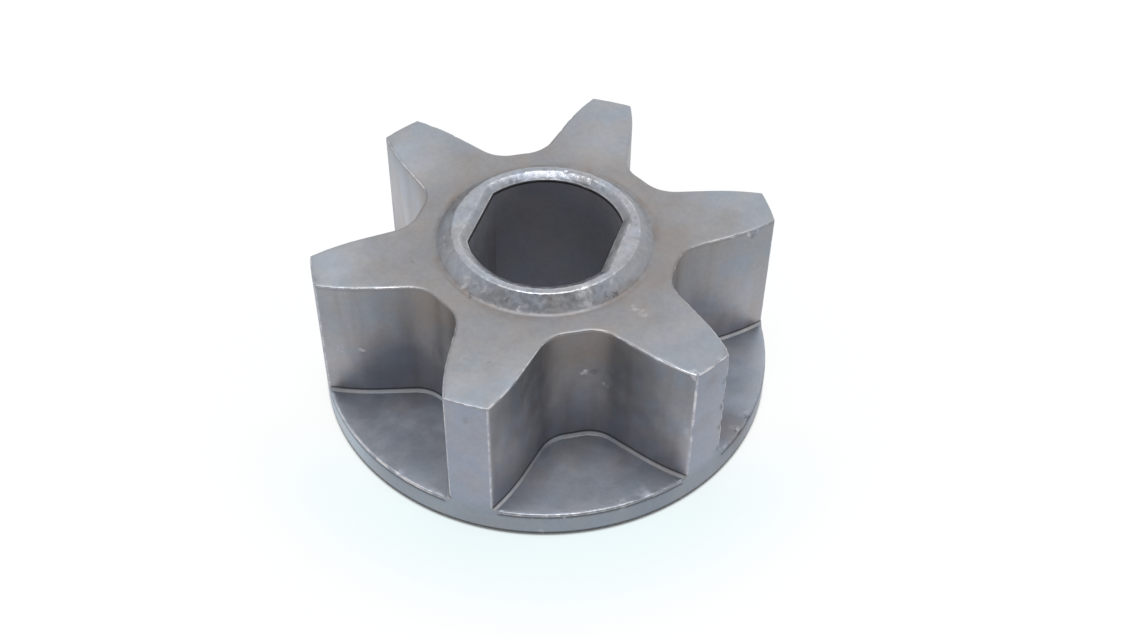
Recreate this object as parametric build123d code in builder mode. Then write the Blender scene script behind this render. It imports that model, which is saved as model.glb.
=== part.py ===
"""Six-tooth drive sprocket of an electric chainsaw, pressed as one piece of sintered steel.

The back of the flange lies on the XY plane, the bore runs along Z and the teeth stand up from
the flange. All sizes are in millimetres.
"""

import os
from math import asin, cos, degrees, radians, sin, sqrt, tan

from build123d import *

# Chain: two links pass over each tooth, so the rivets lie on a polygon with two sides a tooth
chain_pitch = 9.525
tooth_count = 6
links_per_tooth = 2
tip_below_rivets = 0.4
root_below_rivets = 8.025

# Teeth: straight lower flanks, then a convex curve up to a tip that is flush with the flange rim
tooth_height = 11.4
tooth_base_width = 7.0
tooth_tip_width = 3.34
flank_angle = 9.3
straight_flank_length = 4.2
root_fillet = 2.8
first_tooth_direction = 90

# Flange: a plain disc under the teeth, which keeps the chain from running off
flange_thickness = 2.35
flange_back_chamfer = 0.25

# Double-D bore for the gear shaft, with its flats facing two opposite tooth gaps
bore_diameter = 12.0
bore_across_flats = 10.5
mouth_chamfer_width = 0.72
mouth_chamfer_depth = 0.42
back_mouth_chamfer = 0.4

# Collar round the bore, the face that a washer or a retaining clip bears on
collar_height = 1.05
collar_crest_width = 0.48
collar_flank_angle = 41.0
collar_foot_fillet = 0.6

# Small edges left by the press tool
edge_break = 0.12
gap_foot_chamfer = 0.22

rivet_radius = chain_pitch / (2 * sin(radians(180 / (tooth_count * links_per_tooth))))
flange_radius = rivet_radius - tip_below_rivets
root_radius = rivet_radius - root_below_rivets
crown_top = flange_thickness + tooth_height
collar_top = crown_top + collar_height
crest_radius = bore_diameter / 2 + mouth_chamfer_width + collar_crest_width
collar_foot_radius = crest_radius + collar_height / tan(radians(collar_flank_angle))

# One tooth, drawn along +X: its lower flank runs from a heel on the Y axis to the bend
base_half_width = tooth_base_width / 2
base_distance = sqrt(root_radius**2 - base_half_width**2)
flank_heel = (0, base_half_width + base_distance * tan(radians(flank_angle)))
flank_bend = (
    base_distance + straight_flank_length * cos(radians(flank_angle)),
    base_half_width - straight_flank_length * sin(radians(flank_angle)),
)
base_half_angle = degrees(asin(base_half_width / root_radius))
tip_half_angle = asin(tooth_tip_width / 2 / flange_radius)
tip_corner = (flange_radius * cos(tip_half_angle), flange_radius * sin(tip_half_angle))

# The two fillets of a gap share its root, so neither takes all of its own half
root_share = 0.97
root_half_length = root_radius * radians(180 / tooth_count - base_half_angle)
root_turn = 90 - base_half_angle - flank_angle
widest_root_fillet = root_share * root_half_length / tan(radians(root_turn / 2))

with BuildSketch() as tooth:
    with BuildLine():
        Line((0, 0), flank_heel)
        lower_flank = Line(flank_heel, flank_bend)
        TangentArc(flank_bend, tip_corner, tangent=lower_flank % 1)
        CenterArc((0, 0), flange_radius, 0, degrees(tip_half_angle))
        mirror(about=Plane.XZ)
    make_face()

with BuildPart() as sprocket:
    # Blank, with the tooth gaps cut down to the flange, so that each tip stays flush with the rim
    with BuildSketch():
        Circle(flange_radius)
    extrude(amount=crown_top)
    with BuildSketch(Plane.XY.offset(flange_thickness)) as gaps:
        Circle(flange_radius)
        Circle(root_radius, mode=Mode.SUBTRACT)
        with PolarLocations(0, tooth_count, start_angle=first_tooth_direction):
            add(tooth.sketch, mode=Mode.SUBTRACT)
        root_corners = gaps.vertices().group_by(SortBy.DISTANCE)[0]
        fillet(root_corners, min(root_fillet, widest_root_fillet))
    extrude(amount=tooth_height, mode=Mode.SUBTRACT)

    # Narrow strip along the foot of the gap walls
    floor_edges = sprocket.edges().filter_by_position(Axis.Z, flange_thickness, flange_thickness)
    rim_arcs = floor_edges.group_by(SortBy.DISTANCE)[-1]
    chamfer(floor_edges - rim_arcs, gap_foot_chamfer)

    # Broken edges: the rim between the teeth, the top of the teeth, and the back of the flange
    floor_edges = sprocket.edges().filter_by_position(Axis.Z, flange_thickness, flange_thickness)
    rim_arcs = floor_edges.group_by(SortBy.DISTANCE)[-1]
    chamfer(rim_arcs, edge_break)
    chamfer(sprocket.faces().sort_by(Axis.Z)[-1].edges(), edge_break)
    chamfer(sprocket.faces().sort_by(Axis.Z)[0].edges(), flange_back_chamfer)

    # Collar, with a soft foot on the hub
    with Locations((0, 0, crown_top)):
        Cone(
            bottom_radius=collar_foot_radius,
            top_radius=crest_radius,
            height=collar_height,
            align=(Align.CENTER, Align.CENTER, Align.MIN),
        )
    collar_flank = sprocket.faces().filter_by(GeomType.CONE).sort_by(Axis.Z)[-1]
    fillet(collar_flank.edges().filter_by(GeomType.CIRCLE).sort_by(Axis.Z)[0], collar_foot_fillet)

    # Double-D bore, with a shallow lead-in at the collar and a small one at the back
    with BuildSketch():
        Circle(bore_diameter / 2)
        Rectangle(bore_across_flats, bore_diameter, mode=Mode.INTERSECT)
    extrude(amount=collar_top, mode=Mode.SUBTRACT)
    collar_face = sprocket.faces().sort_by(Axis.Z)[-1]
    chamfer(
        collar_face.inner_wires().edges(),
        length=mouth_chamfer_width,
        length2=mouth_chamfer_depth,
        reference=collar_face,
    )
    chamfer(sprocket.faces().sort_by(Axis.Z)[0].inner_wires().edges(), back_mouth_chamfer)

sprocket.part.label = "sprocket"
os.makedirs("parts", exist_ok=True)
export_step(sprocket.part, "parts/sprocket.step")
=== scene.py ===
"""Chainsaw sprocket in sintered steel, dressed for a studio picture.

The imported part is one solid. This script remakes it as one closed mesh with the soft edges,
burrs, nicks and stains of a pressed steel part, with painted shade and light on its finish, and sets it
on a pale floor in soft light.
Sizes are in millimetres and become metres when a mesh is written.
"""

import logging
import math
from dataclasses import dataclass, field
from enum import Enum
from functools import reduce
from typing import Union

import bpy
import numpy as np
from mathutils import Matrix, Vector


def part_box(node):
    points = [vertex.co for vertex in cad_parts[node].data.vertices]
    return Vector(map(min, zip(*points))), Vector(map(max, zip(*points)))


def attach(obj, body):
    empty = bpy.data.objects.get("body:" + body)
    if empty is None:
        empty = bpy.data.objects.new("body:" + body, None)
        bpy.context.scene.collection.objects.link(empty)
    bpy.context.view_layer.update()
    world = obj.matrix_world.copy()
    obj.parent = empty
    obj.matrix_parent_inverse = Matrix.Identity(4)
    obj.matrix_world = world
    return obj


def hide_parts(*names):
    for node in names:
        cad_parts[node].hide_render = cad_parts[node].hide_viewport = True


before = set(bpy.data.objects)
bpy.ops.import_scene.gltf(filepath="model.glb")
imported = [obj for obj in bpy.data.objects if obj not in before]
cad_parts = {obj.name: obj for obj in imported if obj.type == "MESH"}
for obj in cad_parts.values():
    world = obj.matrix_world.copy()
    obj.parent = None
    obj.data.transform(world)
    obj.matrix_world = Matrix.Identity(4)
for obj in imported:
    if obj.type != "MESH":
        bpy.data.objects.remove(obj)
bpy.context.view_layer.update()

LOG = logging.getLogger("sprocket")
MM = 0.001
CAD_NODE = "sprocket"
CAD_BODY = "root"
CAD_SLOT = "sintered_steel"

# Heights of the tops of the teeth and of the floors between them
CROWN = 13.75
FLOOR = 2.35

Colour = tuple[float, float, float]
Point = tuple[float, float, float]
Feed = Union[bpy.types.NodeSocket, float, int, str, tuple]
Feeds = dict[Union[str, int], Feed]
Weight = Union[np.ndarray, float]


def smooth_step(value: np.ndarray) -> np.ndarray:
    """Ease a value from 0 to 1, flat at both ends."""
    eased = np.clip(value, 0.0, 1.0)
    return eased * eased * (3.0 - 2.0 * eased)


def spokes(angles: np.ndarray) -> np.ndarray:
    """Unit vectors at some angles, in radians."""
    return np.stack([np.cos(angles), np.sin(angles)], axis=1)


def arc(centre: np.ndarray, radius: float, start: float, end: float, steps: int,
        crowd: float = 1.0) -> tuple[np.ndarray, np.ndarray]:
    """Place points along an arc.

    Args:
        centre: Centre of the arc.
        radius: Radius of the arc.
        start: Angle of the first point, in radians.
        end: Angle of the last point, in radians.
        steps: Number of steps between them.
        crowd: Power above 1 that brings the points closer together near the start.

    Returns:
        The points, and the unit spokes from the centre to each of them.
    """
    angles = start + (end - start) * np.linspace(0, 1, steps + 1) ** crowd
    return centre + radius * spokes(angles), spokes(angles)


def bearing(vector: np.ndarray) -> float:
    """Angle of a flat vector, in radians."""
    return math.atan2(vector[1], vector[0])


def direction(azimuth: float, elevation: float) -> Vector:
    """Unit vector towards a viewer, for an azimuth and an elevation in degrees."""
    turn, rise = math.radians(azimuth), math.radians(elevation)
    return Vector((math.sin(turn) * math.cos(rise), -math.cos(turn) * math.cos(rise), math.sin(rise)))


class Zone(Enum):
    """A kind of surface, kept as a point attribute that the finish and the wear read."""

    EDGE = "worn_edge"
    NICK = "nicked_edge"
    PITTED = "pitted_face"
    WALL = "gap_wall"
    FLOOR = "gap_floor"
    LEDGE = "foot_ledge"
    # Painted shade: dark lines in creases and hollows, under edges and at the floor
    SEAM = "dirty_seam"
    ROOT = "gap_root"
    RIM = "flange_rim"
    COLLAR = "collar_face"
    FOOT = "collar_foot"
    BORE = "bore_wall"


class Grain(Enum):
    """A seeded noise: its features in a millimetre, its seed and its finer layers."""

    CLOUD = (0.22, 8.4, 3.0)
    HUE = (0.42, 4.9, 4.0)
    MOTTLE = (0.7, 3.1, 5.0)
    STREAK = (0.7, 1.7, 2.0)
    NICK = (0.9, 7.7, 3.0)
    RIPPLE = (1.3, 2.3, 4.0)
    SCUFF = (1.6, 6.6, 6.0)
    DIMPLE = (1.7, 9.2, 4.0)
    SPECKLE = (2.6, 5.8, 4.0)
    BURR = (3.0, 2.9, 6.0)
    GRIT = (8.0, 5.2, 3.0)


@dataclass(frozen=True)
class Ramp:
    """An eased change from one value to another, between two points of what it follows."""

    low: float
    high: float
    start: float = 0.0
    end: float = 1.0


class MarkKind(Enum):
    """How a small mark changes the finish."""

    SCUFF = "bright scrape"
    PIT = "dark pit"
    SMUDGE = "brown smudge"
    # Pale wipes, some of them painted light
    WIPE = "pale wipe"
    RUB = "rubbed edge"
    # Grey film, some of it painted shade
    FILM = "grey film"


@dataclass(frozen=True)
class Mark:
    """A small mark on the finish: wear and dirt from handling, and also painted light and shade."""

    spot: Point
    reach: float
    strength: float = 1.0


@dataclass(frozen=True)
class Chip:
    """A place where an edge has lost some steel."""

    spot: Point
    reach: float
    depth: float


HANDLING_AND_LIGHT_MARKS: dict[MarkKind, tuple[Mark, ...]] = {
    MarkKind.SCUFF: (
        # Wall of the front gap and flank of the left tooth
        Mark((5.8, -8.6, 9.3), 0.35),
        Mark((7.3, -8.3, 8.1), 0.35),
        Mark((-11.8, -9.8, 7.0), 0.35, 0.7),
        Mark((-13.5, -10.2, 6.9), 0.25, 0.7),
        # Collar and hub
        Mark((0.6, -8.1, 14.0), 0.28),
        Mark((4.9, -5.5, 14.6), 0.8, 0.8),
        Mark((4.9, -6.0, 14.3), 1.0, 0.7),
        Mark((6.4, -3.8, 14.6), 0.35, 0.5),
        Mark((-3.9, -6.7, 14.3), 0.45, 0.6),
        Mark((-3.1, -7.1, 14.3), 0.3, 0.5),
        Mark((-2.4, -7.4, 14.3), 0.3, 0.5),
        Mark((-4.0, -7.1, 14.0), 0.3, 0.5),
        Mark((8.6, -5.3, CROWN), 0.5, 0.25),
        Mark((9.3, -5.6, CROWN), 0.5, 0.25),
        # Rim of the front gap
        Mark((12.1, -13.0, FLOOR), 0.6, 0.35),
        Mark((10.8, -14.2, FLOOR), 0.7, 0.4),
        Mark((4.5, -17.4, 2.2), 0.3, 0.5),
        Mark((6.9, -16.6, 2.2), 0.3, 0.5),
        Mark((5.3, -17.2, 0.5), 0.3, 0.4),
        # Edges of the two right-hand teeth
        Mark((13.7, 4.8, 13.6), 0.3, 0.5),
        Mark((14.6, 5.7, 13.4), 0.32, 0.6),
        Mark((15.2, 6.2, 13.4), 0.28, 0.6),
        Mark((14.3, -10.3, 13.7), 0.55, 0.6),
        Mark((14.7, -10.4, 7.8), 0.4, 0.7),
    ),
    MarkKind.PIT: (
        # Wall of the front gap and tops of the teeth
        Mark((6.5, -8.3, 9.3), 0.5, 0.4),
        Mark((-8.7, -5.7, CROWN), 0.18, 0.7),
        Mark((-1.4, -13.8, CROWN), 0.22, 0.35),
        Mark((0.2, -13.7, CROWN), 0.22, 0.35),
        Mark((1.7, -13.0, CROWN), 0.2, 0.4),
        # Collar
        Mark((-0.4, -7.8, 14.2), 0.32, 0.8),
        Mark((-1.3, -8.1, 13.9), 0.25, 0.6),
        Mark((-3.3, -7.9, CROWN), 0.3, 0.6),
        Mark((6.3, -5.0, 14.0), 0.28, 0.8),
        Mark((6.8, -4.5, 13.9), 0.3, 0.8),
        # Edges of the two right-hand teeth, and the rim between them
        Mark((14.9, 5.9, 13.0), 0.45, 0.5),
        Mark((16.4, -7.5, 3.4), 0.6, 0.8),
        Mark((16.2, -7.8, 11.2), 0.35, 0.7),
        Mark((16.2, -7.8, 8.3), 0.5, 0.7),
        Mark((16.2, -7.8, 6.0), 0.4, 0.8),
        Mark((17.5, -2.9, FLOOR), 0.35, 0.7),
        Mark((17.1, -4.6, FLOOR), 0.3, 0.7),
    ),
    MarkKind.SMUDGE: (
        Mark((0.1, -18.0, 12.1), 0.5, 0.5),
        Mark((2.8, -7.2, 14.3), 0.9, 0.6),
        Mark((7.7, -3.0, 13.9), 0.8, 0.8),
        Mark((9.2, -1.0, CROWN), 3.2, 0.4),
        Mark((9.4, 2.6, CROWN), 3.2, 0.4),
        Mark((15.5, -9.1, 12.3), 0.9, 0.4),
        Mark((15.4, -9.3, 8.1), 1.4, 0.25),
        Mark((16.5, -4.6, FLOOR), 2.4, 0.7),
    ),
    MarkKind.WIPE: (
        # Painted light on a flank of the front tooth and of a left-hand tooth
        Mark((2.9, -13.6, 8.0), 5.5, 0.8),
        Mark((-13.3, 4.4, 10.0), 6.5, 0.9),
        Mark((-14.6, -7.7, CROWN), 4.0, 0.35),
        Mark((-11.9, -12.9, FLOOR), 4.0, 0.4),
        Mark((15.7, 3.6, FLOOR), 4.0, 0.35),
        Mark((13.2, -10.2, 3.6), 2.6, 0.35),
        Mark((0.3, 11.5, CROWN), 4.5, 0.25),
    ),
    MarkKind.RUB: (
        Mark((-7.5, -16.3, 2.3), 5.5),
        Mark((15.6, -9.0, 9.0), 8.0),
    ),
    MarkKind.FILM: (
        # Painted shade that dims the highlight on the far lead-in of the collar
        Mark((-2.4, 6.0, 14.6), 3.5, 0.35),
        Mark((-5.8, -15.0, FLOOR), 5.0, 0.55),
        # Painted shadow on the flank of the left-hand tooth
        Mark((-9.2, -8.9, 5.6), 4.5, 0.6),
        Mark((12.7, -12.8, 1.6), 3.0, 0.35),
        Mark((-13.7, -10.3, 3.5), 2.4, 0.3),
        Mark((13.2, -10.2, 3.6), 2.6, 0.35),
        Mark((16.6, -4.6, FLOOR), 4.2, 0.9),
        Mark((14.4, -9.0, 13.0), 4.5, 0.25),
    ),
}
EDGE_CHIPS = (
    Chip((14.7, -10.4, 7.6), 0.6, 0.20),
    Chip((16.4, -7.5, 11.0), 0.45, 0.09),
    Chip((16.4, -7.5, 8.6), 0.5, 0.12),
    Chip((16.4, -7.5, 6.2), 0.45, 0.10),
    Chip((12.2, -13.2, FLOOR), 0.7, 0.05),
    Chip((17.8, -3.0, FLOOR), 0.6, 0.07),
    Chip((17.3, -4.7, FLOOR), 0.5, 0.06),
)

# Share of a mark's reach that has its full strength, and the noise that makes its outline ragged
MARK_CORE = 0.25
RAGGED_SCALE = 2.4
RAGGED_SHIFT = 0.9

# Blender's numbers for the colour inputs and the colour output of a mix
MIX_COLOURS = (6, 7)
MIX_RESULT = 2


class RingStack:
    """A surface made of rows of points, each row joined to the next by four-sided faces."""

    def __init__(self, closed: bool) -> None:
        """Start an empty stack.

        Args:
            closed: Whether its rows run all the way round.
        """
        self.closed = closed
        self.rows: list[np.ndarray] = []
        self.zones: list[dict[Zone, Weight]] = []

    def add(self, flat: np.ndarray, height: Weight, zones: dict[Zone, Weight]) -> None:
        """Add a row.

        Args:
            flat: Points of the row seen along the bore.
            height: Height of the row, or of each point.
            zones: How far the row, or each point, belongs to each zone.
        """
        heights = np.broadcast_to(height, len(flat))
        self.rows.append(np.column_stack([flat, heights]))
        self.zones.append(zones)

    def to_mesh(self, name: str) -> bpy.types.Mesh:
        """Write the stack as a mesh in metres.

        Args:
            name: Name of the mesh.

        Returns:
            The mesh, with one point attribute for each zone.
        """
        across = len(self.rows[0])
        spans = across if self.closed else across - 1
        first = np.arange(len(self.rows) - 1)[:, None] * across
        here = np.arange(spans)
        beyond = (here + 1) % across
        corners = [first + here, first + across + here, first + across + beyond, first + beyond]
        faces = np.stack(corners, axis=-1).reshape(-1, 4)
        mesh = bpy.data.meshes.new(name)
        mesh.from_pydata(np.concatenate(self.rows) * MM, [], faces.tolist())
        for zone in Zone:
            weights = [np.broadcast_to(row.get(zone, 0.0), across) for row in self.zones]
            layer = mesh.attributes.new(zone.value, "FLOAT", "POINT")
            layer.data.foreach_set("value", np.concatenate(weights).astype(np.float32))
        return mesh


class NodeBench:
    """Short calls for wiring one node tree."""

    def __init__(self, tree: bpy.types.NodeTree) -> None:
        """Keep the tree that the nodes go into."""
        self.tree = tree

    def feed(self, socket: bpy.types.NodeSocket, value: Feed) -> None:
        """Link a socket to another one, or set its value.

        Args:
            socket: Socket that takes the value.
            value: Socket to link it to, or a plain value.
        """
        if isinstance(value, bpy.types.NodeSocket):
            self.tree.links.new(value, socket)
        else:
            socket.default_value = value

    def add(self, kind: str, feeds: Union[Feeds, None] = None, **settings: object) -> bpy.types.Node:
        """Add a node.

        Args:
            kind: Blender's name for the kind of node.
            feeds: What goes into its inputs, by their names or numbers.
            settings: Properties of the node.

        Returns:
            The node.
        """
        node = self.tree.nodes.new(kind)
        for name, value in settings.items():
            setattr(node, name, value)
        for key, value in (feeds or {}).items():
            self.feed(node.inputs[key], value)
        return node

    def math(self, operation: str, first: Feed, second: Feed = 0.0) -> bpy.types.NodeSocket:
        """Result of one of Blender's operations on two values."""
        return self.add("ShaderNodeMath", {0: first, 1: second}, operation=operation).outputs[0]

    def times(self, first: Feed, second: Feed) -> bpy.types.NodeSocket:
        """Product of two values."""
        return self.math("MULTIPLY", first, second)

    def rest(self, share: Feed) -> bpy.types.NodeSocket:
        """What a share leaves of the whole."""
        return self.math("SUBTRACT", 1.0, share)

    def fold(self, operation: str, values: list[Feed]) -> Feed:
        """Result of one of Blender's operations along a list of values."""
        return reduce(lambda total, value: self.math(operation, total, value), values)

    def vector(self, operation: str, first: Feed, second: Feed = (0, 0, 0)) -> bpy.types.Node:
        """Node of one of Blender's operations on two vectors, with a vector and a value as outputs."""
        return self.add("ShaderNodeVectorMath", {0: first, 1: second}, operation=operation)

    def scale(self, vector: Feed, factor: Feed) -> bpy.types.NodeSocket:
        """Product of a vector or a colour and a number."""
        return self.add("ShaderNodeVectorMath", {0: vector, "Scale": factor}, operation="SCALE").outputs[0]

    def remap(self, value: Feed, ramp: Ramp) -> bpy.types.NodeSocket:
        """Value eased along a ramp."""
        feeds = dict(enumerate((value, ramp.low, ramp.high, ramp.start, ramp.end)))
        return self.add("ShaderNodeMapRange", feeds, interpolation_type="SMOOTHSTEP").outputs[0]

    def noise(self, place: Feed, grain: Grain) -> bpy.types.NodeSocket:
        """Seeded noise at a place in millimetres, about 0.5 on average."""
        feeds = dict(zip(("Scale", "W", "Detail"), grain.value), Vector=place)
        return self.add("ShaderNodeTexNoise", feeds, noise_dimensions="4D").outputs[0]

    def near(self, place: Feed, spot: Point, reach: float, peak: float) -> bpy.types.NodeSocket:
        """Value that falls from a peak at a spot to 0 at its reach, in millimetres."""
        away = self.vector("DISTANCE", place, spot).outputs[1]
        return self.remap(away, Ramp(MARK_CORE * reach, reach, peak, 0.0))

    def blend(self, share: Feed, first: Feed, second: Feed, way: str = "MIX") -> bpy.types.NodeSocket:
        """Mix two colours.

        Args:
            share: Share of the second colour.
            first: First colour.
            second: Second colour.
            way: Blender's name for the way of mixing.

        Returns:
            The socket of the mixed colour.
        """
        feeds = {0: share}
        for key, colour in zip(MIX_COLOURS, (first, second)):
            feeds[key] = (*colour, 1.0) if isinstance(colour, tuple) else colour
        return self.add("ShaderNodeMix", feeds, data_type="RGBA", blend_type=way).outputs[MIX_RESULT]


def clean_bench(owner: Union[bpy.types.Material, bpy.types.World]) -> NodeBench:
    """Empty the node tree of a material or a world.

    Args:
        owner: The material or the world.

    Returns:
        A bench for its tree.
    """
    owner.use_nodes = True
    owner.node_tree.nodes.clear()
    return NodeBench(owner.node_tree)


def put(name: str, data: bpy.types.ID) -> bpy.types.Object:
    """Put an object in the scene.

    Args:
        name: Name of the object.
        data: Its mesh, lamp or camera.

    Returns:
        The object.
    """
    made = bpy.data.objects.new(name, data)
    bpy.context.scene.collection.objects.link(made)
    return made


class ShapeTree(NodeBench):
    """A Geometry Nodes tree with named inputs for its sizes."""

    def __init__(self, name: str) -> None:
        """Make an empty tree with a geometry input and output.

        Args:
            name: Name of the tree.
        """
        super().__init__(bpy.data.node_groups.new(name, "GeometryNodeTree"))
        self.values: dict[str, object] = {}
        for way in ("INPUT", "OUTPUT"):
            self.tree.interface.new_socket("Geometry", in_out=way, socket_type="NodeSocketGeometry")
        self.entry = self.add("NodeGroupInput")
        self.exit = self.add("NodeGroupOutput")

    def size(self, name: str, kind: str, value: object) -> bpy.types.NodeSocket:
        """Add a named input.

        Args:
            name: Name of the input.
            kind: Blender's name for the kind of socket.
            value: Value that the modifier gives it.

        Returns:
            The socket inside the tree.
        """
        item = self.tree.interface.new_socket(name, in_out="INPUT", socket_type=kind)
        self.values[item.identifier] = value
        return self.entry.outputs[name]

    def weight(self, zone: Zone) -> bpy.types.NodeSocket:
        """Weight of a zone, read from its point attribute."""
        node = self.add("GeometryNodeInputNamedAttribute", {"Name": zone.value}, data_type="FLOAT")
        return node.outputs["Attribute"]

    def make(self, mesh: bpy.types.Mesh) -> bpy.types.Mesh:
        """Run the tree on a mesh.

        Args:
            mesh: Mesh that enters the tree.

        Returns:
            A plain mesh of the result.
        """
        carrier = put(mesh.name, mesh)
        modifier = carrier.modifiers.new(self.tree.name, "NODES")
        modifier.node_group = self.tree
        for identifier, value in self.values.items():
            modifier[identifier] = value
        depsgraph = bpy.context.evaluated_depsgraph_get()
        made = bpy.data.meshes.new_from_object(
            carrier.evaluated_get(depsgraph), preserve_all_data_layers=True, depsgraph=depsgraph)
        carrier.modifiers.remove(modifier)
        bpy.data.objects.remove(carrier)
        return made


class Skin:
    """What a finish reads on a piece: its place in millimetres, its zones and seeded noises."""

    def __init__(self, bench: NodeBench) -> None:
        """Wire the coordinates, the zones and the noises that several parts of a finish share.

        Args:
            bench: Bench of the finish's tree.
        """
        self.bench = bench
        metres = bench.add("ShaderNodeTexCoord").outputs["Object"]
        self.place = bench.scale(metres, 1 / MM)
        self.zone = {
            zone: bench.add("ShaderNodeAttribute", attribute_name=zone.value).outputs["Fac"] for zone in Zone}
        flat = bench.vector("MULTIPLY", self.place, (1.0, 1.0, 0.0)).outputs[0]
        self.radius = bench.vector("LENGTH", flat).outputs[1]
        self.across, self.along, self.height = bench.add("ShaderNodeSeparateXYZ", {0: self.place}).outputs
        self.mottle = bench.noise(self.place, Grain.MOTTLE)
        self.speckle = bench.noise(self.place, Grain.SPECKLE)
        self.scuff = bench.noise(self.place, Grain.SCUFF)
        torn = bench.add("ShaderNodeTexNoise", {"Vector": self.place, "Scale": RAGGED_SCALE})
        shift = bench.vector("SUBTRACT", torn.outputs["Color"], (0.5, 0.5, 0.5)).outputs[0]
        self.ragged = bench.vector("ADD", self.place, bench.scale(shift, RAGGED_SHIFT)).outputs[0]

    def patch(self, zone: Zone, share: Feed) -> bpy.types.NodeSocket:
        """Share of a zone's weight."""
        return self.bench.times(self.zone[zone], share)

    def marks(self, kind: MarkKind) -> Feed:
        """Weight of all the marks of one kind, with ragged outlines."""
        return self.bench.fold("MAXIMUM", [
            self.bench.near(self.ragged, mark.spot, mark.reach, mark.strength)
            for mark in HANDLING_AND_LIGHT_MARKS[kind]])


@dataclass(frozen=True)
class SinteredSteel:
    """Satin pressed steel: warm at the hub, cooler at the tips, bright where its edges are worn, with painted
    shade in its hollows and painted light on some flanks.
    """

    # Tones of the clean steel, with a lit tone and a painted shade tone for the rim, and a painted highlight
    # tone for the ledge
    hub_tone: Colour = (0.252, 0.247, 0.252)
    tip_tone: Colour = (0.292, 0.312, 0.344)
    tip_face_tone: Colour = (0.318, 0.343, 0.408)
    rim_lit_tone: Colour = (0.373, 0.430, 0.485)
    rim_shade_tone: Colour = (0.262, 0.297, 0.340)
    wall_tone: Colour = (0.385, 0.385, 0.415)
    floor_tone: Colour = (0.375, 0.398, 0.445)
    ledge_highlight_tone: Colour = (0.445, 0.462, 0.490)
    collar_tone: Colour = (0.340, 0.360, 0.398)
    bore_tone: Colour = (0.338, 0.338, 0.375)
    warm_tint: Colour = (1.08, 1.00, 0.92)
    cool_tint: Colour = (0.93, 1.00, 1.08)

    # Tones of wear, dirt and painted shade
    worn_tone: Colour = (0.610, 0.605, 0.635)
    film_and_shade_tone: Colour = (0.200, 0.225, 0.275)
    stain_tone: Colour = (0.190, 0.150, 0.122)
    shade_and_pit_tone: Colour = (0.045, 0.043, 0.046)

    # Where the clean steel changes tone, where the rim's painted shade sets in, how mottled it is, and how
    # much painted light the wipes add
    cooling: Ramp = Ramp(9.0, 17.0)
    cooling_drift: float = 9.0
    rim_painted_shade_turn: Ramp = Ramp(-12.0, 2.0)
    rim_top: Ramp = Ramp(2.0, 3.5, 1.0, 0.0)
    rim_share: float = 0.9
    wall_fade: Ramp = Ramp(4.5, 12.0, 1.0, 0.05)
    floor_share: float = 0.9
    collar_share: float = 0.8
    hue_turn: Ramp = Ramp(0.32, 0.68)
    tint_share: Ramp = Ramp(0.0, 1.0, 0.45, 0.65)
    cloudiness: Ramp = Ramp(0.25, 0.75, -1.0, 1.0)
    cloud_depth: float = 0.05
    collar_clouds: float = 0.04
    freckling: Ramp = Ramp(0.3, 0.7, -1.0, 1.0)
    freckle_depth: float = 0.035
    collar_freckles: float = 0.06
    wipe_and_light_gain: float = 0.5

    # How far edges are rubbed bright, and where painted shade dims them on the far side and on the right of
    # the rim
    burr_depth: float = 0.8
    rub_gain: float = 0.7
    wear_start: Ramp = Ramp(0.3, 0.75)
    wear_breaks: Ramp = Ramp(0.36, 0.62, 0.2, 1.0)
    far_side_painted_shade: Ramp = Ramp(4.5, 10.0, 1.0, 0.2)
    right_rim_painted_shade: Ramp = Ramp(8.0, 15.0, 0.0, 0.7)
    scuff_breaks: Ramp = Ramp(0.35, 0.6, 0.2, 1.0)

    # Where dirt and painted shade lie
    # Painted shade: darker towards the bottom of the bore and of each root
    bore_painted_shade: Ramp = Ramp(1.0, 9.0, 0.45, 0.0)
    root_painted_shade: Ramp = Ramp(3.0, 9.0, 0.4, 0.0)
    # The gap floors get darker towards the rim
    floor_outer_darkening: Ramp = Ramp(12.5, 17.6, 0.0, 0.4)
    streak_run: Point = (1.0, 1.0, 0.12)
    wall_stain: Ramp = Ramp(0.42, 0.72, 0.0, 0.26)
    root_stain: Ramp = Ramp(7.0, 12.0, 0.0, 0.35)
    foot_stain: Ramp = Ramp(0.40, 0.66, 0.15, 0.65)
    smudge_share: float = 0.55
    shaded_line_share: float = 0.9
    pit_share: float = 0.6

    # Roughness and fine relief
    satin: Ramp = Ramp(0.2, 0.8, 0.39, 0.49)
    worn_polish: float = -0.08
    collar_polish: Ramp = Ramp(0.3, 0.7, -0.13, -0.01)
    foot_dullness: float = 0.16
    bore_dullness: float = 0.24
    grit_height: float = 0.5
    wave_height: float = 1.1
    speckle_height: float = 0.9
    pit_height: float = -0.9
    relief_strength: float = 0.5
    relief_depth: float = 0.03

    def material(self) -> bpy.types.Material:
        """Build the finish as a procedural material.

        Returns:
            The material, which reads Object coordinates and the zone attributes.
        """
        material = bpy.data.materials.new(CAD_SLOT)
        bench = clean_bench(material)
        skin = Skin(bench)
        worn = self.wear(skin)
        pits = skin.marks(MarkKind.PIT)
        tone = self.soil(skin, self.bare(skin), pits)
        shader = bench.add("ShaderNodeBsdfPrincipled", {
            "Metallic": 1.0,
            "Base Color": self.scrape(skin, tone, worn),
            "Roughness": self.roughness(skin, worn),
            "Normal": self.relief(skin, pits),
        })
        bench.add("ShaderNodeOutputMaterial", {"Surface": shader.outputs["BSDF"]})
        return material

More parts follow.
